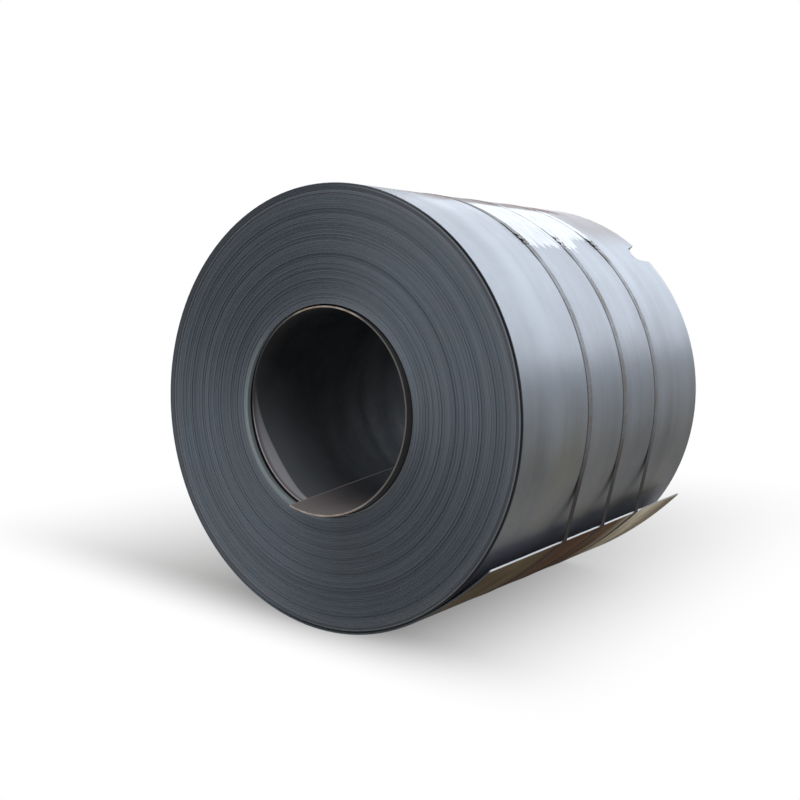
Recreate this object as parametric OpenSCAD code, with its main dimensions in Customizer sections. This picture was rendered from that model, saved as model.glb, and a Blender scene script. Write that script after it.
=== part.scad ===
// Coil of hot-rolled steel strip, lying on its side and held by three steel straps.
// The coil's axis runs along Y and its front end faces -Y.
// The origin is on the axis, half way along the coil.

/* [Strip] */
// Thickness of the strip
strip_t = 6; // [3:0.5:10]
// Width of the strip, which is the length of the coil
strip_w = 1500; // [1300:10:2000]

/* [Coil] */
// Diameter of the mandrel that the strip was wound on
mandrel_d = 762; // [508:1:900]
// Number of turns wound on the mandrel
turns = 72; // [40:1:90]
// Greatest setback of a turn's edge from the end of the coil
edge_setback = 4; // [0.5:0.5:10]

/* [First turn] */
// Gap between the first turn, which has sprung inwards, and the turn around it
first_gap = 4; // [1:0.5:12]
// Place of the first turn's free end, in degrees from +X towards +Z
first_end_angle = -110; // [-140:5:-80]
// How far the free end stands out of the front of the coil
first_proud = 53; // [10:1:120]
// How far the first turn drifts along the axis in one turn
first_drift = 89; // [10:1:150]
// How much earlier the free end, which was cut out of square, starts at the rear
first_slant = 160; // [0:5:165]

/* [Tail] */
// Place where the tail lifts off the coil, in degrees from +X towards +Z
tail_root_angle = -60; // [-75:1:-50]
// Length of strip that has lifted, at the front
tail_len = 365; // [200:5:420]
// How much longer the lifted strip is at the rear, because its end was cut out of square
tail_slant = 60; // [0:5:70]
// Radius that the lifted strip has sprung open to
tail_r = 1560; // [1200:10:2400]

/* [Nick] */
// Place of the nick torn in the rear edge of the last turns, in degrees from +X
nick_angle = 48; // [20:1:90]
// Length of the nick along the rim
nick_len = 98; // [40:1:150]
// Depth of the nick along the axis
nick_depth = 130; // [20:5:180]
// Number of turns that the nick goes through
nick_turns = 5; // [1:1:8]

/* [Straps] */
// Width of the strapping
strap_w = 32; // [19:1:40]
// Thickness of the strapping
strap_t = 1; // [0.8:0.1:1.5]
// Distance from the front of the coil to the middle of the first strap
strap_first = 486; // [300:1:500]
// Distance from one strap to the next
strap_pitch = 294; // [150:1:380]
// Length over which the two ends of a strap lie on each other
strap_lap = 170; // [120:5:260]
// Clearance under a strap
strap_clear = 0.2; // [0.1:0.05:0.3]

/* [Seals] */
// Place of the seals, in degrees from +X towards +Z
seal_angle = 50; // [10:1:90]
// Length of a seal along its strap
seal_len = 64; // [40:1:90]
// Thickness of a seal's sheet
seal_t = 1.5; // [0.8:0.1:2]
// Clearance between a seal and its strap
seal_clear = 0.2; // [0.1:0.05:0.3]
// Diameter of the notches crimped into a seal's sides
crimp_d = 5; // [2:0.5:7]
// Distance between a seal's two pairs of crimps
crimp_pitch = 28; // [20:1:36]

/* [Hidden] */
$fn = 180;

mandrel_r = mandrel_d / 2;
coil_r = mandrel_r + turns * strip_t;
front_y = -strip_w / 2;
rear_y = strip_w / 2;
reach = 3 * coil_r;

// The last turn is wound about two centres, so that it ends one thickness above itself
upper_r = coil_r - 3 * strip_t / 4;
lower_r = coil_r - strip_t / 4;
centre_shift = strip_t / 4;

// The first turn keeps one radius for most of its length, and then opens out to its neighbour
bore_r = mandrel_r - first_gap - strip_t;
first_round = 290;
first_merge = 60;
first_open = 1.2 * (mandrel_r - bore_r) / (1 - cos(first_merge));
ramp_steps = 44;
ramp_margin = 10;

slant_angle = first_slant / bore_r * 180 / PI;
slant_steps = 24;
slant_margin = 15;

// The tail is an arc that leaves the coil on a common tangent
tail_centre = [coil_r - tail_r, 0];

// A strap that bridges from the tail's end is pulled down a little past its tangent to the coil
bridge_pull = 2;
bridge_sink = 0.3;

function polar(r, angle) = [r * cos(angle), r * sin(angle)];
function turned(point, angle) =
    [point.x * cos(angle) - point.y * sin(angle), point.x * sin(angle) + point.y * cos(angle)];

// Setback of one turn's edge, different for each turn and each end
function setback(turn, phase) = edge_setback * pow(sin(97 * turn + phase), 2);

// Places along the axis of the three straps
function strap_y(index) = front_y + strap_first + index * strap_pitch;

// Place along the axis of the first turn's edge, so many degrees from its free end
function first_edge(angle) = front_y - first_proud + first_drift * angle / 360;

// Angle that the tail covers, at one place along the axis
function tail_arc(y) = (tail_len + tail_slant * (y - front_y) / strip_w) / tail_r * 180 / PI;

// Outer corner of the tail's end, and the point where a strap that bridges from it meets the coil
function tail_tip(extra, arc) = tail_centre + polar(tail_r + extra, arc);
function bridge_foot(extra, arc) =
    let (
        from_centre = tail_tip(extra, arc) + [centre_shift, 0],
        r = upper_r + extra,
        angle = atan2(from_centre.y, from_centre.x) + acos(r / norm(from_centre))
    )
    polar(r - bridge_sink, angle + bridge_pull) - [centre_shift, 0];

// Runs a flat outline along the coil's axis, from one place to another
module along_axis(from_y, to_y) {
    translate([0, to_y, 0])
        rotate([90, 0, 0])
            linear_extrude(to_y - from_y)
                children();
}

// Wedge with its point at the origin, opening from one angle to another
module wedge(from_angle, to_angle) {
    polygon([[0, 0], polar(reach, from_angle), polar(reach, to_angle)]);
}

// Outline of the wound turns, with a step of one thickness at the tail's root
module wound_outline(extra) {
    rotate(tail_root_angle) {
        intersection() {
            translate([-centre_shift, 0]) circle(upper_r + extra);
            translate([-reach, 0]) square([2 * reach, reach]);
        }
        intersection() {
            translate([centre_shift, 0]) circle(lower_r + extra);
            translate([-reach, -reach]) square([2 * reach, reach]);
        }
    }
}

// Outline of the lifted tail, as long as it is at the rear
module tail_outline() {
    rotate(tail_root_angle)
        translate(tail_centre)
            intersection() {
                difference() {
                    circle(tail_r);
                    circle(tail_r - strip_t);
                }
                wedge(0, tail_arc(rear_y));
            }
}

// Section of the turns, from the mandrel outwards, with each turn's edge at its own place
module turns_section() {
    last = turns - 1;
    front = [
        for (turn = [0:last], side = [0, 1])
            [mandrel_r + (turn + side) * strip_t, strip_w / 2 - setback(turn, 10)]
    ];
    rear = [
        for (turn = [last:-1:0], side = [1, 0])
            [mandrel_r + (turn + side) * strip_t, -strip_w / 2 + setback(turn, 55)]
    ];
    polygon(concat(front, rear));
}

// Outline of the first turn's round stretch, from before its free end
module first_round_outline() {
    rotate(first_end_angle + first_round)
        intersection() {
            difference() {
                circle(bore_r + strip_t);
                circle(bore_r);
            }
            union() {
                wedge(-first_round - slant_angle - 2, -2 * first_round / 3);
                wedge(-2 * first_round / 3, -first_round / 3);
                wedge(-first_round / 3, 0);
            }
        }
}

// Outline of the wider arc that runs from the first turn into the next one
module first_merge_outline() {
    rotate(first_end_angle + first_round)
        intersection() {
            translate([-first_open, 0])
                difference() {
                    circle(bore_r + strip_t + first_open);
                    circle(bore_r + first_open);
                }
            wedge(0, first_merge);
        }
}

// Solid that joins a row of sections, each with four corners
module joined_sections(sections) {
    steps = len(sections) - 1;
    last = 4 * steps;
    sides = [
        for (k = [0:steps - 1], side = [0:3])
            let (a = 4 * k + side, b = 4 * k + (side + 1) % 4)
            each [[a, b + 4, b], [a, a + 4, b + 4]]
    ];
    ends = [[0, 1, 2], [0, 2, 3], [last, last + 2, last + 1], [last, last + 3, last + 2]];
    polyhedron([for (section = sections) each section], concat(sides, ends));
}

// Space in front of the first turn's edge, which drifts along the axis as the turn goes round
module ramp_space() {
    inner = bore_r - ramp_margin;
    outer = mandrel_r + strip_t + first_gap + ramp_margin;
    start = front_y - first_proud;
    step = (first_round + first_merge + 2) / ramp_steps;
    joined_sections([
        for (k = [0:ramp_steps])
            let (
                angle = k * step - 1,
                edge = first_edge(angle),
                near = polar(inner, first_end_angle + angle),
                far = polar(outer, first_end_angle + angle)
            )
            [
                [near.x, start - ramp_margin, near.y],
                [far.x, start - ramp_margin, far.y],
                [far.x, edge, far.y],
                [near.x, edge, near.y]
            ]
    ]);
}

// Space before the first turn's free end, which runs slantwise from the front to the rear
module slant_space() {
    inner = bore_r - ramp_margin;
    outer = 1.3 * mandrel_r;
    start = front_y - first_proud;
    low = first_end_angle - slant_angle - slant_margin;
    from_y = start - ramp_margin;
    step = (rear_y + ramp_margin - from_y) / slant_steps;
    joined_sections([
        for (k = [0:slant_steps])
            let (
                y = from_y + k * step,
                high = first_end_angle - slant_angle * (y - start) / strip_w,
                near = polar(inner, high),
                far = polar(outer, high),
                far_low = polar(outer, low),
                near_low = polar(inner, low)
            )
            [
                [near.x, y, near.y],
                [far.x, y, far.y],
                [far_low.x, y, far_low.y],
                [near_low.x, y, near_low.y]
            ]
    ]);
}

// Space beyond the tail's end, which runs slantwise from the front to the rear
module tail_space() {
    joined_sections([
        for (y = [front_y - ramp_margin, rear_y + ramp_margin])
            let (
                inner = tail_r - strip_t - ramp_margin,
                outer = tail_r + ramp_margin,
                corners = [
                    polar(inner, tail_arc(rear_y) + 1),
                    polar(outer, tail_arc(rear_y) + 1),
                    polar(outer, tail_arc(y)),
                    polar(inner, tail_arc(y))
                ]
            )
            [for (corner = corners) let (p = turned(tail_centre + corner, tail_root_angle)) [p.x, y, p.y]]
    ]);
}

module first_turn() {
    difference() {
        union() {
            difference() {
                along_axis(front_y - first_proud, rear_y) first_round_outline();
                slant_space();
            }
            along_axis(front_y - first_proud, rear_y) first_merge_outline();
        }
        ramp_space();
    }
}

// Bite out of the last turns at the rear edge
module nick() {
    rotate([0, -nick_angle, 0])
        translate([upper_r - nick_turns * strip_t, rear_y, 0])
            rotate([90, 0, 90])
                linear_extrude((nick_turns + 2) * strip_t)
                    polygon([
                        [strip_t, nick_len / 2],
                        [-0.7 * nick_depth, nick_len / 4],
                        [-nick_depth, -nick_len / 3],
                        [-0.75 * nick_depth, -nick_len / 2],
                        [strip_t, -nick_len / 2]
                    ]);
}

module coil() {
    color("#6d747c")
        difference() {
            union() {
                intersection() {
                    rotate([90, 0, 0]) rotate_extrude() turns_section();
                    along_axis(front_y, rear_y) wound_outline(0);
                }
                difference() {
                    along_axis(front_y, rear_y) tail_outline();
                    tail_space();
                }
                first_turn();
            }
            nick();
        }
}

// What a strap is drawn tight around: the turns, the tail, and the bridge from the tail's end
module strapped_outline(extra, arc) {
    tip = tail_tip(extra, arc);
    foot = bridge_foot(extra, arc);
    wound_outline(extra);
    rotate(tail_root_angle)
        intersection() {
            translate(tail_centre) circle(tail_r + extra);
            polygon([[0, 0], [reach, 0], 2 * tip - foot, foot]);
        }
}

module strap(index) {
    half_lap = strap_lap / 2 / coil_r * 180 / PI;
    arc = tail_arc(strap_y(index) + strap_w / 2);
    color("#8b8680")
        along_axis(strap_y(index) - strap_w / 2, strap_y(index) + strap_w / 2)
            difference() {
                union() {
                    strapped_outline(strap_clear + strap_t, arc);
                    rotate(tail_root_angle)
                        translate([-centre_shift, 0])
                            intersection() {
                                circle(upper_r + strap_clear + 2 * strap_t);
                                rotate(seal_angle - tail_root_angle) wedge(-half_lap, half_lap);
                            }
                }
                strapped_outline(strap_clear, arc);
            }
}

// Crimped sleeve over the two ends of a strap, open on the side towards the coil
module seal(index) {
    half_angle = seal_len / 2 / coil_r * 180 / PI;
    inner_w = strap_w + 2 * seal_clear;
    outer_w = inner_w + 2 * seal_t;
    foot_r = upper_r + strap_clear;
    roof_r = foot_r + 2 * strap_t + seal_clear;
    shift = polar(-centre_shift, tail_root_angle);
    color("#3b3a39")
        translate([shift.x, strap_y(index), shift.y])
            rotate([0, -seal_angle, 0])
                difference() {
                    rotate([90, 0, 0])
                        rotate([0, 0, -half_angle])
                            rotate_extrude(angle = 2 * half_angle)
                                difference() {
                                    translate([foot_r, -outer_w / 2])
                                        square([roof_r + seal_t - foot_r, outer_w]);
                                    translate([foot_r - seal_t, -inner_w / 2])
                                        square([roof_r - foot_r + seal_t, inner_w]);
                                }
                    for (along = [-1, 1], side = [-1, 1])
                        translate([foot_r - seal_t, side * outer_w / 2, along * crimp_pitch / 2])
                            rotate([0, 90, 0])
                                cylinder(h = reach, d = crimp_d);
                }
}

coil();
strap(0);  // strap_front
strap(1);  // strap_middle
strap(2);  // strap_rear
seal(0);  // seal_front
seal(1);  // seal_middle
seal(2);  // seal_rear
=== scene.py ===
import math

import bmesh
import bpy
import numpy as np
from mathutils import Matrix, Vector


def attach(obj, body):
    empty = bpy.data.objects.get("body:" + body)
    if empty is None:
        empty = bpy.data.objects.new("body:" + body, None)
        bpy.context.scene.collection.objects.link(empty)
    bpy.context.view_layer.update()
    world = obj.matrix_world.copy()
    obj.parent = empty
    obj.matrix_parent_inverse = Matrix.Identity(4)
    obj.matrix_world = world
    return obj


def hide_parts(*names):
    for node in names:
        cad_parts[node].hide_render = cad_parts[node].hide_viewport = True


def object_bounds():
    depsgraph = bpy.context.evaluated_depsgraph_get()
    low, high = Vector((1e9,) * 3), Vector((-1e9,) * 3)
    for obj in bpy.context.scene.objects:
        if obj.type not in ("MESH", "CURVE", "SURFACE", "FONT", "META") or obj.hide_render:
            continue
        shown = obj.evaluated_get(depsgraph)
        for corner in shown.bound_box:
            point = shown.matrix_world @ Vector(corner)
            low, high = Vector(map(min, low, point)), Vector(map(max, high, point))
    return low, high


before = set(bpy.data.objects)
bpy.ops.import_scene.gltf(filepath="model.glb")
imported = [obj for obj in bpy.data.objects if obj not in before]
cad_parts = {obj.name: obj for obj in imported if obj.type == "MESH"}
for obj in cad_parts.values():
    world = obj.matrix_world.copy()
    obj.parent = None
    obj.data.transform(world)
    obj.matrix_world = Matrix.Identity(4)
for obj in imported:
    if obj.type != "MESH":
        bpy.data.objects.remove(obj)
cad_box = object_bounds()

# The viewpoint: from the right of the coil's front end, a little above the axis and looking slightly down.
# Its place, turn and lens come from fitting the coil's own circles and length to the photograph.
view_turn = math.radians(35.805)
view_dip = math.radians(5.326)
photo_view = bpy.data.cameras.new("photo_view")
photo_view.sensor_width = 36.0
photo_view.lens = 49.3455
camera = bpy.data.objects.new("photo_view", photo_view)
camera.location = (2.51276, -3.77461, 0.40482)
camera.rotation_euler = (math.pi / 2 - view_dip, 0.0, view_turn)
bpy.context.scene.collection.objects.link(camera)
bpy.context.scene.camera = camera

# The wound turns: hot-rolled steel strip 6 mm thick and 1.5 m wide, wound 72 times about a mandrel.
# The strip keeps its blue-grey mill scale, and its sheared edges are the rings on the two ends.
# They are one spiral: the second turn is the wall of the bore, and the last one is the outside.
strip_t = 0.006
strip_w = 1.5
front_y = -strip_w / 2
rear_y = strip_w / 2
mandrel_r = 0.381
turn_count = 72
coil_r = mandrel_r + turn_count * strip_t
free_end_angle = math.radians(-110)
tail_root_angle = math.radians(-60)
full_circle = 2 * math.pi
root_turn = turn_count + (tail_root_angle - free_end_angle) / full_circle
edge_setback = 0.004
edge_round = 0.0008
sharp_bend = math.radians(28)
groove_depth = 0.0010
steps_per_turn = 144
slow_drift_deg = 97
quick_drift_deg = 61.7
front_phase_deg = 10
rear_phase_deg = 55


def angle_at(turn):
    return free_end_angle + full_circle * turn


def turn_at(degrees):
    """Number of turns at an angle on the last turn, in degrees from +X towards +Z."""
    return root_turn - 1 + (math.radians(degrees) - tail_root_angle) / full_circle


def ease(x):
    x = np.clip(x, 0.0, 1.0)
    return x * x * (3 - 2 * x)


def spiral_r(turn):
    """Radius of the inner face of the strip, so many turns from its free end."""
    return coil_r - strip_t * (1 + root_turn - turn)


def wander(turn, phase_deg):
    """Setback of the strip's edge, which drifts as the strip is wound."""
    slow = np.sin(np.radians(slow_drift_deg * turn + phase_deg)) ** 2
    quick = np.sin(np.radians(quick_drift_deg * turn + 2.1 * phase_deg)) ** 2
    return edge_setback * (0.55 * slow + 0.45 * quick)


# The first turn starts well out of the front end, and drifts back as it goes round
first_proud = 0.053
first_drift = 0.089
settle_turns = 0.16


def front_edge(turn):
    wound = front_y + wander(turn, front_phase_deg)
    drifted = front_y - first_proud + first_drift * np.minimum(turn, 1.0)
    return drifted + (wound - drifted) * ease((turn - 1.0) / settle_turns)


# A bite has been torn out of the rear edge of the last five turns
nick_through = 5
nick_outline_deg = (44.1, 44.3, 44.9, 45.3, 46.6, 48.4, 49.5, 50.3, 51.2)
nick_outline_depth = (0.0, 0.085, 0.102, 0.130, 0.118, 0.100, 0.089, 0.050, 0.0)
nick_places = [turn_at(degrees) for degrees in nick_outline_deg]
nick_margin_deg = 0.6
nick_step_deg = 0.4


def nick_at(turn):
    """Depth of the bite, which is the same in each turn that it goes through."""
    turns_below = np.clip(np.ceil(nick_places[0] - turn - 0.5), 0, nick_through - 1)
    return np.interp(turn + turns_below, nick_places, nick_outline_depth, left=0.0, right=0.0)


def rear_edge(turn):
    drifted = np.minimum(rear_y, front_edge(turn) + strip_w)
    wound = rear_y - wander(turn, rear_phase_deg)
    return np.where(turn < 1.5, drifted, wound) - nick_at(turn)


def turn_steps():
    """Places round one turn, as fractions of it from the free end, closer together at the nick."""
    even = np.arange(steps_per_turn) / steps_per_turn
    first = turn_at(nick_outline_deg[0] - nick_margin_deg) % 1.0
    last = turn_at(nick_outline_deg[-1] + nick_margin_deg) % 1.0
    close = np.arange(first, last, nick_step_deg / 360)
    return np.array(sorted(set(np.round(even, 7)) | set(np.round(close, 7))))


def polar(r, angle):
    return np.stack([r * np.cos(angle), r * np.sin(angle)], -1)


def finish_mesh(name, vertices, faces, slots, marks, materials):
    """Makes a piece from its faces. Each vertex keeps a mark for the material, such as its turn number."""
    mesh = bpy.data.meshes.new(name)
    mesh.from_pydata(vertices, [], faces)
    mesh.polygons.foreach_set("material_index", slots)
    kept = mesh.attributes.new("mark", "FLOAT", "POINT")
    kept.data.foreach_set("value", np.asarray(marks, np.float32))
    work = bmesh.new()
    work.from_mesh(mesh)
    bmesh.ops.recalc_face_normals(work, faces=work.faces)
    work.to_mesh(mesh)
    work.free()
    mesh.polygons.foreach_set("use_smooth", [True] * len(mesh.polygons))
    mesh.set_sharp_from_angle(angle=sharp_bend)
    for material in materials:
        mesh.materials.append(material)
    piece = bpy.data.objects.new(name, mesh)
    bpy.context.scene.collection.objects.link(piece)
    return piece


def add_node(tree, kind, inputs=None, **settings):
    """Adds a shader node. An input is a number, a colour or another node's output."""
    made = tree.nodes.new(kind)
    for name, value in settings.items():
        setattr(made, name, value)
    for socket, value in (inputs or {}).items():
        if isinstance(value, bpy.types.NodeSocket):
            tree.links.new(value, made.inputs[socket])
        else:
            made.inputs[socket].default_value = value
    return made


def maths(tree, operation, *values):
    return add_node(tree, "ShaderNodeMath", dict(enumerate(values)), operation=operation).outputs[0]


def times(tree, product, *factors):
    for factor in factors:
        product = maths(tree, "MULTIPLY", product, factor)
    return product


def plus(tree, total, *others):
    for other in others:
        total = maths(tree, "ADD", total, other)
    return total


def minus(tree, value, less):
    return maths(tree, "SUBTRACT", value, less)


def swing(tree, pattern, size):
    """A pattern of 0 to 1 made into shifts to either side, of half the size at most."""
    return times(tree, minus(tree, pattern, 0.5), size)


def ramp(tree, value, low, high, to_low=0.0, to_high=1.0):
    """Value spread smoothly over a range, and held at its ends."""
    ranges = {0: value, 1: low, 2: high, 3: to_low, 4: to_high}
    return add_node(tree, "ShaderNodeMapRange", ranges, interpolation_type="SMOOTHSTEP").outputs[0]


def between(tree, value, low, high, fade):
    """1 between two values and 0 outside them, fading at each end."""
    return times(tree, ramp(tree, value, low - fade, low), ramp(tree, value, high + fade, high))


def mixed(tree, share, colour_a, colour_b):
    inputs = {0: share, 6: colour_a, 7: colour_b}
    return add_node(tree, "ShaderNodeMix", inputs, data_type="RGBA").outputs[2]


def noise(tree, vector, scale, detail=3.0, roughness=0.5):
    inputs = {"Vector": vector, "Scale": scale, "Detail": detail, "Roughness": roughness}
    return add_node(tree, "ShaderNodeTexNoise", inputs).outputs[0]


def new_finish(name):
    """A material with its shader, and the tree to build its pattern in."""
    material = bpy.data.materials.new(name)
    material.use_nodes = True
    tree = material.node_tree
    shader = tree.nodes["Principled BSDF"]
    return material, tree, shader


def roughen(tree, shader, pattern, depth, strength):
    """Fine relief on a finish."""
    bump = add_node(tree, "ShaderNodeBump", {"Height": pattern, "Distance": depth, "Strength": strength})
    tree.links.new(bump.outputs[0], shader.inputs["Normal"])


def strip_places(tree):
    """Places along and across the strip in metres, and the turn number."""
    turn = add_node(tree, "ShaderNodeAttribute", attribute_name="mark").outputs["Fac"]
    place = add_node(tree, "ShaderNodeTexCoord").outputs["Object"]
    across = add_node(tree, "ShaderNodeSeparateXYZ", {0: place}).outputs[1]
    along = times(tree, turn, full_circle * coil_r)
    return turn, along, across, place


def stretched(tree, along, across, along_scale, across_scale):
    both = {0: times(tree, along, along_scale), 1: times(tree, across, across_scale)}
    return add_node(tree, "ShaderNodeCombineXYZ", both).outputs[0]


def scaled(tree, colour, factor):
    return add_node(tree, "ShaderNodeVectorMath", {0: colour, "Scale": factor}, operation="SCALE").outputs[0]


def girth_angle(tree, place):
    """Angle about the coil's axis, from +X towards +Z."""
    parts = add_node(tree, "ShaderNodeSeparateXYZ", {0: place})
    return maths(tree, "ARCTAN2", parts.outputs[2], parts.outputs[0])


# White paint, swiped with a brush over the shoulder of the coil and over what lies on it there
white_paint = (0.78, 0.78, 0.77, 1)
paint_foot_deg = 47.3
paint_head_deg = 70.5
paint_front = front_y + 0.505
paint_rear = front_y + 1.112
foot_step = 0.068
foot_step_from = 0.13
foot_step_to = 0.175


def brushed_paint(tree, place, across):
    """Share of the surface that the paint covers. Its foot has runs, and is higher towards the rear."""
    round_m = times(tree, girth_angle(tree, place), coil_r)
    strokes = noise(tree, stretched(tree, round_m, across, 7.0, 55.0), 1.0, 4.0, 0.6)
    hairs = noise(tree, stretched(tree, round_m, across, 6.0, 210.0), 1.0, 2.0)
    runs = swing(tree, strokes, 0.13)
    wavering = swing(tree, noise(tree, stretched(tree, round_m, across, 1.0, 11.0), 1.0, 2.0), 0.05)
    edge = plus(tree, across, times(tree, runs, 0.2))
    step = times(tree, ramp(tree, edge, foot_step_from, foot_step_to), foot_step)
    foot = minus(tree, plus(tree, round_m, runs, wavering), step)
    head = plus(tree, round_m, times(tree, runs, 0.7), wavering)
    low = coil_r * math.radians(paint_foot_deg)
    high = coil_r * math.radians(paint_head_deg)
    patch = times(
        tree,
        ramp(tree, foot, low - 0.006, low + 0.006),
        ramp(tree, head, high + 0.02, high - 0.02),
        ramp(tree, edge, paint_front - 0.003, paint_front + 0.003),
        ramp(tree, edge, paint_rear + 0.006, paint_rear - 0.006),
    )
    thin_strokes = ramp(tree, strokes, 0.32, 0.44, 0.3, 1.0)
    bare_hairs = ramp(tree, hairs, 0.34, 0.48, 0.4, 1.0)
    return times(tree, patch, thin_strokes, bare_hairs)


# Mill scale on the outside of the coil: smooth and blue-grey, with painted shade and some dirt on the
# underside, and brown on the tail
scale_dark = (0.074, 0.085, 0.100, 1)
scale_light = (0.110, 0.125, 0.144, 1)
rust_speck = (0.15, 0.095, 0.06, 1)
shade_dirt_dark = (0.034, 0.031, 0.024, 1)
shade_dirt_light = (0.062, 0.058, 0.048, 1)
dirt_olive = (0.090, 0.076, 0.026, 1)
painted_navy_shade = (0.11, 0.11, 0.145, 1)
film_brown = (0.20, 0.155, 0.135, 1)
crest_rust = (0.175, 0.110, 0.078, 1)
gap_shade_black = (0.010, 0.010, 0.011, 1)
torn_edge_black = (0.012, 0.012, 0.013, 1)
tail_olive = ((0.095, 0.062, 0.030, 1), (0.175, 0.125, 0.066, 1))
tail_rust = ((0.085, 0.036, 0.015, 1), (0.160, 0.090, 0.048, 1))
tail_highlight_beige = ((0.46, 0.34, 0.20, 1), (0.90, 0.78, 0.56, 1))
tail_corner = (0.24, 0.17, 0.105, 1)
black_from = 71.04
black_to = 71.44
black_fade = 0.06

mill_scale, tree, shader = new_finish("mill_scale")
turn, along, across, place = strip_places(tree)
girth = girth_angle(tree, place)
bands = noise(tree, stretched(tree, along, across, 0.25, 7.0), 1.0, 3.0)
streaks = noise(tree, stretched(tree, along, across, 1.5, 160.0), 1.0, 3.0)
clouds = noise(tree, stretched(tree, along, across, 3.0, 3.0), 1.0, 6.0, 0.6)
patches = noise(tree, stretched(tree, along, across, 1.3, 2.4), 1.0, 3.0)
specks = noise(tree, stretched(tree, along, across, 55.0, 55.0), 1.0, 2.0)
tone = plus(tree, times(tree, bands, 0.425), times(tree, clouds, 0.425), times(tree, streaks, 0.15))
scale_colour = mixed(tree, ramp(tree, tone, 0.35, 0.65), scale_dark, scale_light)
scale_colour = scaled(tree, scale_colour, ramp(tree, across, front_y, rear_y, 1.4, 1.1))
scale_colour = mixed(tree, ramp(tree, specks, 0.68, 0.76, 0.0, 0.5), scale_colour, rust_speck)

# Painted shade on the underside, darker towards the rear, with olive patches of dirt, and a bluer painted
# shade above the tail
height = add_node(tree, "ShaderNodeSeparateXYZ", {0: place}).outputs[2]
underside = ramp(tree, plus(tree, height, swing(tree, bands, 0.25)), 0.12, -0.20)
above_tail = between(tree, girth, math.radians(-64), math.radians(-36), math.radians(8))
shade_and_dirt = mixed(tree, ramp(tree, clouds, 0.40, 0.62), shade_dirt_dark, shade_dirt_light)
shade_and_dirt = mixed(tree, ramp(tree, patches, 0.44, 0.60, 0.0, 0.7), shade_and_dirt, dirt_olive)
shade_and_dirt = scaled(tree, shade_and_dirt, ramp(tree, across, front_y, 0.2, 1.0, 0.65))
shade_and_dirt = mixed(tree, times(tree, above_tail, 0.8), shade_and_dirt, painted_navy_shade)
scale_colour = mixed(tree, times(tree, underside, 0.8), scale_colour, shade_and_dirt)

# A thin brown film on the rear shoulder and a rusty stain along the top, both with ragged outlines
drift_round = plus(tree, girth, swing(tree, clouds, 0.25))
drift_across = plus(tree, across, swing(tree, patches, 0.7))
film = times(
    tree,
    ramp(tree, drift_round, math.radians(48.1), math.radians(60.2)),
    ramp(tree, drift_round, math.radians(126.1), math.radians(85.9)),
    ramp(tree, drift_across, 0.05, 0.50),
)
crest = times(
    tree,
    ramp(tree, drift_round, math.radians(68.8), math.radians(73.3)),
    ramp(tree, drift_round, math.radians(117.5), math.radians(83.1)),
    between(tree, drift_across, -0.36, 0.50, 0.20),
    ramp(tree, clouds, 0.30, 0.55, 0.6, 1.0),
)
scale_colour = mixed(tree, times(tree, film, 0.7), scale_colour, film_brown)
scale_colour = mixed(tree, times(tree, crest, 0.8), scale_colour, crest_rust)

# Painted shade of a gap, as a black line along part of the front edge, and a dark line along the torn rear
# edge
from_front = plus(tree, minus(tree, across, front_y), swing(tree, clouds, 0.004))
front_gap_shade = ramp(tree, from_front, 0.012, 0.006)
front_gap_shade = times(tree, front_gap_shade, between(tree, turn, black_from, black_to, black_fade))
scale_colour = mixed(tree, front_gap_shade, scale_colour, gap_shade_black)
torn_edge = ramp(
    tree,
    girth,
    math.radians(nick_outline_deg[3]),
    math.radians(nick_outline_deg[5]),
    rear_y - nick_outline_depth[3],
    rear_y - nick_outline_depth[5],
)
torn_edge_line = ramp(tree, minus(tree, torn_edge, across), 0.012, 0.008)
torn_edge_line = times(tree, torn_edge_line, between(tree, turn, turn_at(45.1), turn_at(46.6), 0.0004))
scale_colour = mixed(tree, torn_edge_line, scale_colour, torn_edge_black)

# Stains on the tail: olive in front, rust-brown in the middle and brown at the far corner, with a beige
# painted highlight behind
tail_share = ramp(tree, turn, root_turn - 0.01, root_turn + 0.008)
olive = mixed(tree, ramp(tree, clouds, 0.35, 0.65), *tail_olive)
brown = mixed(tree, ramp(tree, clouds, 0.40, 0.68), *tail_rust)
tail_highlight = mixed(tree, ramp(tree, clouds, 0.32, 0.60), *tail_highlight_beige)
tail_colour = mixed(tree, ramp(tree, across, -0.45, -0.20), olive, brown)
tail_colour = mixed(tree, ramp(tree, across, 0.16, 0.46), tail_colour, tail_highlight)
tail_colour = mixed(tree, ramp(tree, across, 0.52, 0.66, 0.0, 0.8), tail_colour, tail_corner)
scale_colour = mixed(tree, tail_share, scale_colour, tail_colour)
paint = brushed_paint(tree, place, across)
scale_colour = mixed(tree, paint, scale_colour, white_paint)
tree.links.new(scale_colour, shader.inputs["Base Color"])

# Paint, rust and dirt are duller than the scale
scale_roughness = plus(
    tree,
    ramp(tree, tone, 0.3, 0.7, 0.42, 0.34),
    times(tree, paint, 0.3),
    times(tree, front_gap_shade, 0.6),
    times(tree, tail_share, 0.5),
    times(tree, crest, 0.3),
    times(tree, film, 0.09),
)
tree.links.new(scale_roughness, shader.inputs["Roughness"])
shine = ramp(tree, across, front_y, rear_y, 0.47, 0.38)
shine = minus(tree, shine, times(tree, underside, ramp(tree, across, front_y, 0.1, 0.17, 0.22)))
shine = minus(tree, shine, times(tree, film, 0.18))
shine = times(tree, shine, ramp(tree, tail_share, 0.0, 1.0, 1.0, 0.4))
tree.links.new(shine, shader.inputs["Specular IOR Level"])
roughen(tree, shader, plus(tree, times(tree, streaks, 0.2), times(tree, specks, 0.8)), 0.0004, 0.35)
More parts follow.
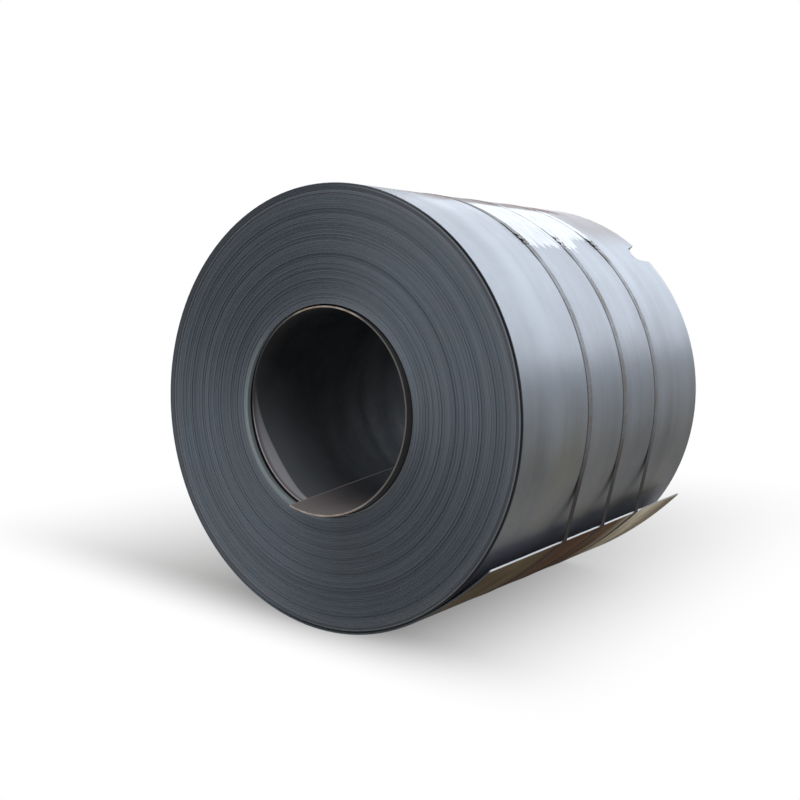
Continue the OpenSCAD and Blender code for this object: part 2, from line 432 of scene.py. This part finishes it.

# Sheared edges of the turns, duller than the scale, in groups of lighter and darker rings, with a painted
# sheen
edge_dark = (0.130, 0.150, 0.176, 1)
edge_light = (0.208, 0.233, 0.268, 1)
edge_grime = (0.165, 0.172, 0.176, 1)
ring_light = (0.36, 0.35, 0.36, 1)
ring_dark = (0.075, 0.080, 0.088, 1)
band_light = (0.33, 0.35, 0.39, 1)
lip_light = (0.36, 0.41, 0.42, 1)
cream_rust = ((0.62, 0.44, 0.34, 1), (0.85, 0.76, 0.64, 1))
first_grey = (0.24, 0.22, 0.205, 1)
first_black = (0.085, 0.088, 0.09, 1)
first_bright = (0.80, 0.76, 0.76, 1)
fresh_shear_highlight = (0.80, 0.79, 0.77, 1)
shaded_shear = (0.20, 0.165, 0.135, 1)
painted_sheen_deg = 35
tail_cut_from = root_turn + 0.0690
tail_cut_to = root_turn + 0.0711

sheared_edge, tree, shader = new_finish("sheared_edge")
turn, along, across, place = strip_places(tree)
turn_line = add_node(tree, "ShaderNodeCombineXYZ", {0: turn}).outputs[0]
rings = noise(tree, turn_line, 1.3, 1.0)
ring_groups = noise(tree, turn_line, 0.22, 2.0)
grime_and_shade = noise(tree, place, 3.0, 5.0, 0.6)
scratches = noise(tree, stretched(tree, along, across, 9.0, 1.0), 1.0, 3.0)
tone = plus(tree, times(tree, rings, 0.6), times(tree, ring_groups, 0.4))
edge_colour = mixed(tree, ramp(tree, tone, 0.36, 0.64), edge_dark, edge_light)
edge_colour = mixed(tree, ramp(tree, grime_and_shade, 0.35, 0.70, 0.0, 0.35), edge_colour, edge_grime)
light_rings = plus(
    tree,
    between(tree, turn, 67.45, 68.15, 0.06),
    between(tree, turn, 70.08, 70.50, 0.06),
    times(tree, between(tree, turn, 64.1, 67.3, 0.10), 0.4),
)
edge_colour = mixed(tree, times(tree, light_rings, 0.55), edge_colour, ring_light)
dark_rings = plus(tree, between(tree, turn, 68.25, 69.95, 0.05), ramp(tree, turn, 70.55, 70.65))
edge_colour = mixed(tree, times(tree, dark_rings, 0.45), edge_colour, ring_dark)
# Painted shade of the gap at the front rim: the edges of the last turns there are black
edge_colour = mixed(tree, between(tree, turn, black_from, black_to, black_fade), edge_colour, gap_shade_black)
edge_colour = mixed(tree, ramp(tree, turn, 6.6, 4.4, 0.0, 0.45), edge_colour, band_light)
bore_lips = plus(tree, *(between(tree, turn, wound + 0.72, wound + 1.03, 0.06) for wound in (1, 2, 3)))
edge_colour = mixed(tree, times(tree, bore_lips, 0.8), edge_colour, lip_light)
# Painted sheen: the edges are lighter towards 2 and 8 o'clock, where the rings would catch the light, and
# darker between
painted_sheen_angle = minus(tree, girth_angle(tree, place), math.radians(painted_sheen_deg))
painted_sheen = maths(tree, "COSINE", times(tree, painted_sheen_angle, 2.0))
edge_colour = scaled(tree, edge_colour, ramp(tree, painted_sheen, -1.0, 1.0, 0.78, 1.34))

# The first turn's edge is rusty by its free end and black on the left, and the tail's end is freshly cut,
# with a painted highlight in front and painted shade behind
rust = mixed(tree, ramp(tree, scratches, 0.35, 0.65), *cream_rust)
first_edge = mixed(tree, between(tree, turn, 0.50, 0.60, 0.03), first_grey, rust)
first_edge = mixed(tree, ramp(tree, turn, 0.22, 0.06), first_edge, rust)
first_edge = mixed(tree, ramp(tree, turn, 0.62, 0.70), first_edge, first_black)
first_edge = mixed(tree, ramp(tree, turn, 0.79, 0.86), first_edge, first_bright)
edge_colour = mixed(tree, ramp(tree, turn, 1.3, 1.0), edge_colour, first_edge)
tail_end = ramp(tree, turn, tail_cut_from, tail_cut_to)
tail_rim = mixed(tree, ramp(tree, across, 0.33, 0.40), fresh_shear_highlight, shaded_shear)
edge_colour = mixed(tree, tail_end, edge_colour, tail_rim)
tree.links.new(edge_colour, shader.inputs["Base Color"])
tree.links.new(ramp(tree, scratches, 0.3, 0.7, 0.75, 0.55), shader.inputs["Roughness"])
shader.inputs["Specular IOR Level"].default_value = 0.25
roughen(tree, shader, scratches, 0.0004, 0.3)

# Scale inside the bore, near black with painted shade, rusty by the front edge with painted light there, and
# with painted light on the first turn's free end near the front
bore_dark = (0.022, 0.024, 0.026, 1)
bore_light = (0.042, 0.045, 0.050, 1)
front_rust_and_light = (0.20, 0.17, 0.15, 1)
flap_light_rust = (0.36, 0.305, 0.295, 1)
cut_line = (0.55, 0.45, 0.40, 1)
left_wall_grey = (0.20, 0.205, 0.215, 1)
margin_dull = (0.34, 0.26, 0.28, 1)
margin_bright = (0.68, 0.66, 0.67, 1)
second_wall_lit = (0.34, 0.37, 0.38, 1)
second_wall_shade = (0.016, 0.017, 0.018, 1)
tail_inside = (0.46, 0.425, 0.415, 1)

bore_scale, tree, shader = new_finish("bore_scale")
turn, along, across, place = strip_places(tree)
bands = noise(tree, stretched(tree, along, across, 0.4, 9.0), 1.0, 3.0)
clouds = noise(tree, place, 5.0, 5.0, 0.6)
bore_colour = mixed(tree, ramp(tree, clouds, 0.35, 0.65), bore_dark, bore_light)
depth = plus(tree, across, times(tree, clouds, 0.06))
bore_colour = mixed(tree, ramp(tree, depth, -0.60, -0.74, 0.0, 0.25), bore_colour, front_rust_and_light)
flap_light = times(tree, ramp(tree, turn, 0.20, 0.04), ramp(tree, depth, -0.30, -0.74))
bore_colour = mixed(tree, flap_light, bore_colour, flap_light_rust)
end_line = times(tree, ramp(tree, turn, 0.0024, 0.0012), ramp(tree, depth, 0.1, -0.4, 0.0, 0.8))
bore_colour = mixed(tree, end_line, bore_colour, cut_line)

# Lighter grey on the left of the first turn, with a bright margin along its edge
edge_place = plus(tree, times(tree, turn, first_drift), front_y - first_proud)
from_edge = minus(tree, across, edge_place)
on_left = ramp(tree, turn, 0.72, 0.92)
left_wall_grey_share = times(tree, on_left, ramp(tree, from_edge, 0.40, 0.03))
bore_colour = mixed(tree, left_wall_grey_share, bore_colour, left_wall_grey)
margin = ramp(tree, turn, 0.735, 0.905, 0.0, 0.064)
margin = minus(tree, margin, ramp(tree, turn, 0.92, 1.0, 0.0, 0.026))
inside_margin = plus(tree, minus(tree, margin, from_edge), times(tree, clouds, 0.008))
edge_margin = times(tree, on_left, ramp(tree, inside_margin, -0.004, 0.004))
margin_colour = mixed(tree, ramp(tree, from_edge, 0.004, 0.024), margin_dull, margin_bright)
bore_colour = mixed(tree, edge_margin, bore_colour, margin_colour)

# The wall of the bore behind the first turn has painted light at its front edge and painted shade of the gap
# behind that, and the tail's inside is light grey
at_edge = ramp(tree, across, front_y + 0.014, front_y + 0.021)
second_wall_light_and_shade = mixed(tree, at_edge, second_wall_lit, second_wall_shade)
bore_colour = mixed(tree, ramp(tree, turn, 1.3, 1.5), bore_colour, second_wall_light_and_shade)
bore_colour = mixed(tree, ramp(tree, turn, root_turn - 1, root_turn), bore_colour, tail_inside)
tree.links.new(bore_colour, shader.inputs["Base Color"])
tree.links.new(ramp(tree, bands, 0.3, 0.7, 0.75, 0.60), shader.inputs["Roughness"])
shader.inputs["Specular IOR Level"].default_value = 0.12

strip_finishes = [sheared_edge, mill_scale, bore_scale]
EDGE, OUTSIDE, INSIDE = range(3)

round_steps = turn_steps()
per_turn = len(round_steps)
last_step = (turn_count - 1) * per_turn + int(np.argmin(np.abs(round_steps - root_turn % 1.0)))
station = np.arange(last_step + 1)
turns = 1.0 + station // per_turn + round_steps[station % per_turn]
turns[-1] = root_turn
inner_r = spiral_r(turns)
outer_r = spiral_r(turns) + strip_t
angles = angle_at(turns)


def ring_vertices(r, y):
    flat = polar(r, angles)
    return np.stack([flat[:, 0], y, flat[:, 1]], -1)


vertices, vertex_turns = [], []


def keep(points, turns_here):
    """Adds points to the mesh and gives their numbers."""
    start = sum(len(group) for group in vertices)
    vertices.append(points)
    vertex_turns.append(turns_here)
    return start + np.arange(len(points))


# Across an edge the mesh goes from a groove over the strip's two corners to the next groove, or to the rim.
# Under the bite, the side of the first whole turn lies bare and shows its scale.
torn_depth = 0.003
whole_depth = 0.001
faces, slots = [], []
outer_rims = {}
inner_rims = {}
step_caps = {}
for end, edge, deeper in (("front", front_edge, 1.0), ("rear", rear_edge, -1.0)):
    edge_y = edge(turns)
    before_y = np.where(turns >= 2.0, edge(turns - 1.0), edge_y)
    deepest = np.maximum(edge_y, before_y) if deeper > 0 else np.minimum(edge_y, before_y)
    groove_y = deepest + deeper * groove_depth
    groove_y[:per_turn] = edge_y[:per_turn] + deeper * edge_round
    groove = keep(ring_vertices(inner_r, groove_y), turns)
    inner = keep(ring_vertices(inner_r + edge_round, edge_y), turns)
    outer = keep(ring_vertices(outer_r - edge_round, edge_y), turns)
    rim = keep(ring_vertices(outer_r, edge_y + deeper * edge_round)[-per_turn:], turns[-per_turn:])
    beyond = np.concatenate([groove[per_turn:], rim])
    torn = (nick_at(np.minimum(turns + 1.0, root_turn)) > torn_depth) & (nick_at(turns) < whole_depth)
    for k in range(last_step):
        faces.append((groove[k], inner[k], inner[k + 1], groove[k + 1]))
        faces.append((inner[k], outer[k], outer[k + 1], inner[k + 1]))
        faces.append((outer[k], beyond[k], beyond[k + 1], outer[k + 1]))
        bare = end == "rear" and (torn[k] or torn[k + 1]) and k + per_turn <= last_step
        slots.extend((EDGE, EDGE, OUTSIDE if bare else EDGE))
    inner_rims[end] = groove[: per_turn + 1]
    outer_rims[end] = beyond[last_step - per_turn :]
    step_caps[end] = (
        (groove[0], inner[0], outer[0], groove[per_turn]),
        (groove[last_step], inner[last_step], outer[last_step], rim[-1]),
    )
for rims, slot in ((inner_rims, INSIDE), (outer_rims, OUTSIDE)):
    for k in range(per_turn):
        faces.append((rims["front"][k], rims["front"][k + 1], rims["rear"][k + 1], rims["rear"][k]))
        slots.append(slot)
for front_cap, rear_cap in zip(step_caps["front"], step_caps["rear"]):
    faces.append(front_cap + rear_cap[::-1])
    slots.append(EDGE)

points = np.concatenate(vertices).tolist()
wound_turns = finish_mesh("wound_turns", points, faces, slots, np.concatenate(vertex_turns), strip_finishes)
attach(wound_turns, "root")
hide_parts("coil")

# The first turn: the inner end of the same strip, which has sprung inwards, clear of the turn around it.
# Its free end stands out of the front, and its edge drifts back into the bore as it goes round.
first_gap = 0.004
bore_r = mandrel_r - first_gap - strip_t
first_round = 290 / 360
end_slant = 0.160 / (full_circle * bore_r)
slant_fade = 0.12


def first_turn_r(turn):
    merged = spiral_r(1.0)
    return bore_r + (merged - bore_r) * ease((turn - first_round) / (1.0 - first_round))


def swept_sheet(inner_path, outer_path, front, rear, rounding):
    """Vertices and faces of a bent sheet. A path takes the place across, from 0 in front to 1 behind."""
    count = len(front)
    depth = rear - front
    share = rounding / depth
    loop = (
        (0.0, rounding, True),
        (rounding, 0.0, True),
        (-rounding, 0.0, False),
        (0.0, rounding, False),
        (0.0, -rounding, False),
        (-rounding, 0.0, False),
        (rounding, 0.0, True),
        (0.0, -rounding, True),
    )
    rows = []
    for number, (lift, setback, on_inside) in enumerate(loop):
        behind = number >= len(loop) // 2
        across = np.where(behind, 1.0 - (share if setback else 0.0), share if setback else 0.0)
        inside = inner_path(across)
        outside = outer_path(across)
        normal = (outside - inside) / np.linalg.norm(outside - inside, axis=-1, keepdims=True)
        flat = (inside if on_inside else outside) + normal * lift
        y = (rear if behind else front) + setback
        rows.append(np.stack([flat[:, 0], y, flat[:, 1]], -1))
    points = np.stack(rows, 1).reshape(-1, 3)
    sheet_faces, sheet_slots = [], []
    around = len(loop)
    side_slots = (EDGE, EDGE, EDGE, OUTSIDE, EDGE, EDGE, EDGE, INSIDE)
    for k in range(count - 1):
        for side, slot in enumerate(side_slots):
            a = k * around + side
            b = k * around + (side + 1) % around
            sheet_faces.append((a, b, b + around, a + around))
            sheet_slots.append(slot)
    sheet_faces.append(tuple(range(around)))
    sheet_faces.append(tuple(range((count - 1) * around, count * around)))
    sheet_slots.extend((EDGE, EDGE))
    return points, sheet_faces, sheet_slots


first_turns = np.linspace(0.0, 1.0, 181)
first_front = front_edge(first_turns)
first_rear = np.minimum(first_front + strip_w, rear_y)


def slanted(across):
    """The free end was cut out of square, so the strip starts a little earlier towards the rear."""
    return first_turns - end_slant * across * np.clip(1.0 - first_turns / slant_fade, 0.0, 1.0)


def first_path(lift):
    return lambda across: polar(first_turn_r(first_turns) + lift, angle_at(slanted(across)))


points, faces, slots = swept_sheet(first_path(0.0), first_path(strip_t), first_front, first_rear, edge_round)
slots = [INSIDE if slot == OUTSIDE else slot for slot in slots]
marks = np.repeat(first_turns, len(points) // len(first_turns))
first_turn = finish_mesh("first_turn", points.tolist(), faces, slots, marks, strip_finishes)
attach(first_turn, "root")
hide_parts("coil")

# The tail: the outer end of the same strip, which has sprung off the coil at the lower right.
# It leaves the last turn on a common tangent. Its sheared end is freshly cut, with a painted highlight in
# front and painted shade behind.
tail_len = 0.365
tail_slant = 0.060
tail_r = 1.560
tail_steps = np.linspace(0.0, 1.0, 25)


def tail_path(lift, across):
    """Course of the tail at a place across it. Its end was cut out of square, and it is longer behind."""
    arc = tail_steps * (tail_len + tail_slant * across) / tail_r
    flat = polar(tail_r - strip_t + lift, arc) + np.array([coil_r - tail_r, 0.0])
    turned = np.array(
        [
            [math.cos(tail_root_angle), math.sin(tail_root_angle)],
            [-math.sin(tail_root_angle), math.cos(tail_root_angle)],
        ]
    )
    return flat @ turned


tail_turns = root_turn + tail_steps * tail_len / (full_circle * coil_r)
tail_front = front_edge(tail_turns)
tail_rear = rear_edge(tail_turns)
points, faces, slots = swept_sheet(
    lambda across: tail_path(0.0, across),
    lambda across: tail_path(strip_t, across),
    tail_front,
    tail_rear,
    edge_round,
)
marks = np.repeat(tail_turns, len(points) // len(tail_turns))
tail = finish_mesh("tail", points.tolist(), faces, slots, marks, strip_finishes)
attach(tail, "root")
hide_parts("coil")

# The straps: three bands of steel strapping, 32 mm wide and 1 mm thick, drawn tight around the girth.
# Each goes over the tail, bridges from the tail's end to the coil, and laps over itself under its seal.
strap_w = 0.032
strap_t = 0.001
strap_clear = 0.0002
strap_lap = 0.170
seal_angle = math.radians(50)
strap_middles = {"front": front_y + 0.486, "middle": front_y + 0.780, "rear": front_y + 1.074}

half_lap = strap_lap / 2 / coil_r
strap_start = seal_angle - half_lap
lap_climb = math.radians(3.0)
lap_lift = 1.15 * strap_t
upper_step = math.radians(2.0)
lower_step = math.radians(1.0)


def outside_r(angle):
    """Radius of the outside of the coil, at an angle counted on from the tail's root."""
    return coil_r - strip_t + strip_t * (angle - tail_root_angle) / full_circle


def strap_course(middle):
    """Line of a strap and the way out from it: round the coil, over the tail and across the gap."""
    over_tail = tail_path(strip_t, (middle + strap_w / 2 - front_y) / strip_w)
    tip_r = float(np.hypot(*over_tail[-1]))
    tip_angle = math.atan2(over_tail[-1][1], over_tail[-1][0])
    foot_angle = tip_angle + math.acos((coil_r - strip_t) / tip_r)
    upper_angles = np.arange(strap_start, tail_root_angle + full_circle, upper_step)
    lower_angles = np.arange(foot_angle, seal_angle + half_lap + lower_step, lower_step)
    climb = lap_lift * ease((lower_angles - strap_start + lap_climb) / lap_climb)
    line = np.concatenate(
        [
            polar(outside_r(upper_angles), upper_angles),
            over_tail,
            polar(outside_r(lower_angles) + climb, lower_angles),
        ]
    )
    heading = np.diff(line, axis=0)
    heading /= np.linalg.norm(heading, axis=1, keepdims=True)
    heading_in = np.concatenate([heading[:1], heading])
    heading_out = np.concatenate([heading, heading[-1:]])
    bend = heading_in + heading_out
    bend /= np.linalg.norm(bend, axis=1, keepdims=True)
    outward = np.stack([bend[:, 1], -bend[:, 0]], -1)
    mitre = 1.0 / np.clip((bend * heading_out).sum(1, keepdims=True), 0.7, 1.0)
    return line, outward * mitre


strap_dark = (0.098, 0.100, 0.105, 1)
strap_light = (0.138, 0.138, 0.140, 1)
strap_rust = (0.125, 0.090, 0.060, 1)
strap_shade = (0.022, 0.016, 0.012, 1)

strapping, tree, shader = new_finish("strapping")
place = add_node(tree, "ShaderNodeTexCoord").outputs["Object"]
parts = add_node(tree, "ShaderNodeSeparateXYZ", {0: place})
across = parts.outputs[1]
rust = noise(tree, place, 14.0, 5.0, 0.65)
rubs = noise(tree, place, 90.0, 3.0)
strap_colour = mixed(tree, ramp(tree, rubs, 0.30, 0.70), strap_dark, strap_light)
strap_colour = mixed(tree, ramp(tree, rust, 0.42, 0.68, 0.0, 0.8), strap_colour, strap_rust)
# Painted shade: the straps darken towards the bottom, over the tail and across the gap
low_shade = ramp(tree, parts.outputs[2], 0.05, -0.38, 0.0, 0.9)
strap_colour = mixed(tree, low_shade, strap_colour, strap_shade)
strap_colour = mixed(tree, brushed_paint(tree, place, across), strap_colour, white_paint)
tree.links.new(strap_colour, shader.inputs["Base Color"])
strap_roughness = plus(tree, ramp(tree, rust, 0.4, 0.65, 0.46, 0.62), times(tree, low_shade, 0.4))
tree.links.new(strap_roughness, shader.inputs["Roughness"])
shader.inputs["Specular IOR Level"].default_value = 0.22
roughen(tree, shader, rubs, 0.0003, 0.3)

strap_round = 0.0003
for where, middle in strap_middles.items():
    line, outward = strap_course(middle)
    edge = np.full(len(line), middle)
    points, faces, slots = swept_sheet(
        lambda across: line + outward * strap_clear,
        lambda across: line + outward * (strap_clear + strap_t),
        edge - strap_w / 2,
        edge + strap_w / 2,
        strap_round,
    )
    plain = np.zeros(len(points))
    strap = finish_mesh(f"{where}_strap", points.tolist(), faces, [0] * len(faces), plain, [strapping])
    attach(strap, "root")
    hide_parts(f"strap_{where}")

# The seals: a sleeve of sheet steel over the two ends of each strap, open towards the coil.
# Two pairs of notches are crimped into its sides, which lock the strap's ends.
seal_len = 0.064
seal_t = 0.0015
crimp_pitch = 0.028
crimp_bite = 0.0045
crimp_half = 0.0045
crimp_shade_half = 0.008
seal_play = 0.0004
seal_clear = 0.0002
seal_rows = 57
seal_bright = (0.34, 0.34, 0.335, 1)
seal_rust = (0.17, 0.13, 0.10, 1)
crimp_shade = (0.008, 0.008, 0.008, 1)

seal_steel, tree, shader = new_finish("seal_steel")
place = add_node(tree, "ShaderNodeTexCoord").outputs["Object"]
across = add_node(tree, "ShaderNodeSeparateXYZ", {0: place}).outputs[1]
rust = noise(tree, place, 40.0, 5.0, 0.65)
seal_colour = mixed(tree, ramp(tree, rust, 0.45, 0.66), seal_bright, seal_rust)
paint = brushed_paint(tree, place, across)
seal_colour = mixed(tree, times(tree, paint, 0.9), seal_colour, white_paint)
# Painted shade in and around the crimped notches
crimped = add_node(tree, "ShaderNodeAttribute", attribute_name="mark").outputs["Fac"]
crimp_shaded = ramp(tree, crimped, 0.04, 0.30)
seal_colour = mixed(tree, crimp_shaded, seal_colour, crimp_shade)
tree.links.new(seal_colour, shader.inputs["Base Color"])
seal_roughness = plus(tree, ramp(tree, rust, 0.4, 0.65, 0.55, 0.8), times(tree, crimp_shaded, 0.4))
tree.links.new(seal_roughness, shader.inputs["Roughness"])
shader.inputs["Specular IOR Level"].default_value = 0.08

half_inside = strap_w / 2 + seal_play
roof_inside = 0.3 * half_inside
crimp_reach = 0.8 * half_inside
roof_lift = strap_clear + 2.2 * strap_t + seal_clear
seal_profile = (
    (half_inside, strap_clear),
    (half_inside + seal_t, strap_clear),
    (half_inside + seal_t, roof_lift + 0.4 * seal_t),
    (half_inside + 0.6 * seal_t, roof_lift + 0.85 * seal_t),
    (half_inside - 0.2 * seal_t, roof_lift + seal_t),
    (roof_inside, roof_lift + seal_t),
)
under_roof = ((roof_inside, roof_lift), (half_inside, roof_lift))
other_side = tuple((-sideways, lift) for sideways, lift in reversed(seal_profile))
under_other = tuple((-sideways, lift) for sideways, lift in reversed(under_roof))
seal_section = seal_profile + other_side + under_other + under_roof
seal_places = np.linspace(-seal_len / 2, seal_len / 2, seal_rows)
for where, middle in strap_middles.items():
    points, faces, marks = [], [], []
    for along in seal_places:
        angle = seal_angle + along / coil_r
        off_crimp = min(abs(along - crimp_pitch / 2), abs(along + crimp_pitch / 2))
        crimp = max(0.0, 1.0 - (off_crimp / crimp_half) ** 2)
        # The painted shade round each crimp, marked on the seal's sides
        grime_and_shade = max(0.0, 1.0 - (off_crimp / crimp_shade_half) ** 2)
        for sideways, lift in seal_section:
            at_side = abs(sideways) > crimp_reach
            bite = math.copysign(crimp * crimp_bite, sideways) if at_side else 0.0
            r = outside_r(angle) + lift
            points.append((r * math.cos(angle), middle + sideways - bite, r * math.sin(angle)))
            marks.append(grime_and_shade if at_side else 0.0)
    around = len(seal_section)
    for k in range(seal_rows - 1):
        for side in range(around):
            a = k * around + side
            b = k * around + (side + 1) % around
            faces.append((a, b, b + around, a + around))
    faces.append(tuple(range(around)))
    faces.append(tuple(range((seal_rows - 1) * around, seal_rows * around)))
    seal = finish_mesh(f"{where}_seal", points, faces, [0] * len(faces), marks, [seal_steel])
    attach(seal, "root")
    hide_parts(f"seal_{where}")

# The floor: a plain pale ground under the coil, which takes its soft shadow and has a painted shadow round
# it.
# Far from the coil it runs into the white of the background, so that no horizon shows.
floor_z = cad_box[0][2]
floor_half = 60.0
floor_seen = (0.215, 0.20, 0.185, 1)
floor_unseen = (0.35, 0.35, 0.35, 1)
shaded_share = 0.89
front_slant = 0.14
plain_white = (1, 1, 1, 1)
floor_corners = [(x * floor_half, y * floor_half, floor_z) for x, y in ((-1, -1), (1, -1), (1, 1), (-1, 1))]
floor_mesh = bpy.data.meshes.new("floor")
floor_mesh.from_pydata(floor_corners, [], [(0, 1, 2, 3)])


def rays_to_eye(tree):
    """1 for light that goes to the eye, straight or mirrored, and 0 for light between things."""
    path = add_node(tree, "ShaderNodeLightPath")
    seen = maths(tree, "MAXIMUM", path.outputs["Is Camera Ray"], path.outputs["Is Glossy Ray"])
    return maths(tree, "MAXIMUM", seen, path.outputs["Is Transmission Ray"])


pale_floor, tree, shader = new_finish("pale_floor")
seen = rays_to_eye(tree)
tree.links.new(mixed(tree, seen, floor_unseen, floor_seen), shader.inputs["Base Color"])
shader.inputs["Roughness"].default_value = 1.0
shader.inputs["Specular IOR Level"].default_value = 0.0
place = add_node(tree, "ShaderNodeNewGeometry").outputs["Position"]
parts = add_node(tree, "ShaderNodeSeparateXYZ", {0: place})
to_right, to_rear = parts.outputs[0], parts.outputs[1]
# Painted shadow: near the coil the white fades out over a patch, most beside and behind it
beside = times(tree, ramp(tree, to_right, -3.12, 0.24), ramp(tree, to_right, 1.20, -0.20))
from_front = plus(tree, times(tree, to_right, front_slant), to_rear)
behind = times(tree, ramp(tree, from_front, -1.02, -0.53), ramp(tree, to_rear, 3.8, -0.5))
painted_shadow = times(tree, beside, behind)
far = times(tree, maths(tree, "MULTIPLY_ADD", painted_shadow, -shaded_share, 1.0), seen)
white = add_node(tree, "ShaderNodeEmission", {"Color": plain_white, "Strength": 1.0})
faded = add_node(tree, "ShaderNodeMixShader", {0: far, 1: shader.outputs[0], 2: white.outputs[0]})
tree.links.new(faded.outputs[0], tree.nodes["Material Output"].inputs["Surface"])
floor_mesh.materials.append(pale_floor)
floor = bpy.data.objects.new("floor", floor_mesh)
bpy.context.scene.collection.objects.link(floor)

# The light: a soft lamp overhead and three tall panels behind the coil, as an open sky lights a stockyard.
# The smooth scale on the shoulder of the coil mirrors the panels, which aren't seen themselves.
# The pale surroundings fill the front end weakly, so that it stays dark as in the photograph.
overhead_white = (0.95, 0.975, 1.0)
skyline_blue = (0.79, 0.87, 1.0)
fill_blue = (0.92, 0.96, 1.0, 1)


def soft_lamp(name, place, size, energy, colour):
    """A flat lamp that faces the coil, and that only reflections show."""
    made = bpy.data.lights.new(name, "AREA")
    made.shape = "RECTANGLE"
    made.size, made.size_y = size
    made.energy = energy
    made.color = colour
    lamp = bpy.data.objects.new(name, made)
    lamp.location = place
    lamp.rotation_euler = (-Vector(place)).to_track_quat("-Z", "Y").to_euler()
    lamp.visible_camera = False
    bpy.context.scene.collection.objects.link(lamp)


soft_lamp("overhead", (-1.6, 0.6, 4.4), (4.5, 4.5), 80.0, overhead_white)
soft_lamp("skyline_right", (4.6, 6.7, 4.6), (5.6, 6.8), 650.0, skyline_blue)
soft_lamp("skyline_middle", (0.85, 8.2, 4.6), (2.8, 6.8), 210.0, skyline_blue)
soft_lamp("skyline_left", (-2.45, 8.0, 4.6), (3.95, 6.8), 195.0, skyline_blue)

surroundings = bpy.data.worlds.new("surroundings")
surroundings.use_nodes = True
tree = surroundings.node_tree
tree.nodes.clear()
fill = add_node(tree, "ShaderNodeBackground", {"Color": fill_blue, "Strength": 0.52})
white = add_node(tree, "ShaderNodeBackground", {"Color": plain_white, "Strength": 1.0})
shares = {0: rays_to_eye(tree), 1: fill.outputs[0], 2: white.outputs[0]}
either = add_node(tree, "ShaderNodeMixShader", shares)
add_node(tree, "ShaderNodeOutputWorld", {"Surface": either.outputs[0]})
bpy.context.scene.world = surroundings
bpy.context.scene.view_settings.view_transform = "Standard"
